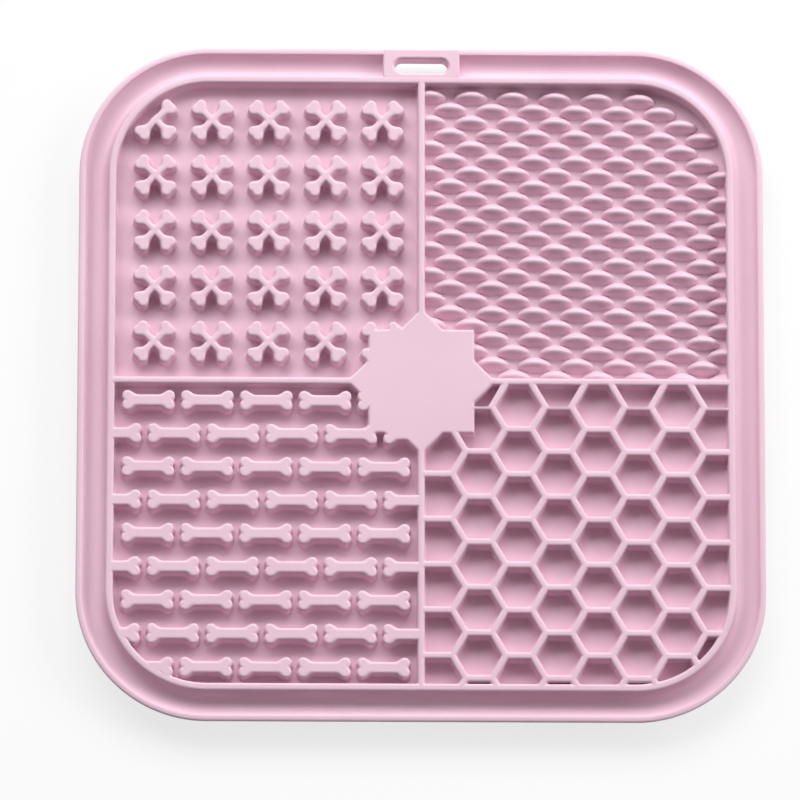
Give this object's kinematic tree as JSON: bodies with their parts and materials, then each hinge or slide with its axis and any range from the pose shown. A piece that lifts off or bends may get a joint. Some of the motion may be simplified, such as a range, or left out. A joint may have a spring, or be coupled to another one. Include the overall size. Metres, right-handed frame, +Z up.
{
  "type": "lick mat",
  "caption": "Square silicone lick mat for pets: textured food fields round a bare star, inside a moat and flared lip, with a hanging slot and suction cups underneath.",
  "frame": {"origin": "middle of the mat, on the surface that it stands on", "axes": "+X to the right, +Y to the hanging tab, +Z up out of the textured fields"},
  "size_m": [0.2, 0.2, 0.0104],
  "materials": {
    "silicone": "matt"
  },
  "bodies": {
    "root": {"base_sheet": "silicone", "outer_rim": "silicone", "inner_rim": "silicone", "hanging_tab": "silicone", "centre_plate": "silicone", "divider_back": "silicone", "divider_front": "silicone", "divider_left": "silicone", "divider_right": "silicone", "crossed_bones_row_1": "silicone", "crossed_bones_row_2": "silicone", "crossed_bones_row_3": "silicone", "crossed_bones_row_4": "silicone", "crossed_bones_row_5": "silicone", "bone_row_1": "silicone", "bone_row_2": "silicone", "bone_row_3": "silicone", "bone_row_4": "silicone", "bone_row_5": "silicone", "bone_row_6": "silicone", "bone_row_7": "silicone", "bone_row_8": "silicone", "bone_row_9": "silicone", "honeycomb_wall_1": "silicone", "honeycomb_wall_2": "silicone", "honeycomb_wall_3": "silicone", "honeycomb_wall_4": "silicone", "honeycomb_wall_5": "silicone", "honeycomb_wall_6": "silicone", "honeycomb_wall_7": "silicone", "honeycomb_rungs_1": "silicone", "honeycomb_rungs_2": "silicone", "honeycomb_rungs_3": "silicone", "honeycomb_rungs_4": "silicone", "honeycomb_rungs_5": "silicone", "honeycomb_rungs_6": "silicone", "honeycomb_rungs_7": "silicone", "honeycomb_rungs_8": "silicone", "scale_band_1": "silicone", "scale_band_2": "silicone", "scale_band_3": "silicone", "scale_band_4": "silicone", "scale_band_5": "silicone", "scale_band_6": "silicone", "scale_band_7": "silicone", "scale_band_8": "silicone", "scale_band_9": "silicone", "scale_band_10": "silicone", "scale_band_11": "silicone", "scale_band_12": "silicone", "suction_cup_row_1": "silicone", "suction_cup_row_2": "silicone", "suction_cup_row_3": "silicone", "suction_cup_row_4": "silicone", "suction_cup_row_5": "silicone"}
  },
  "joints": []
}
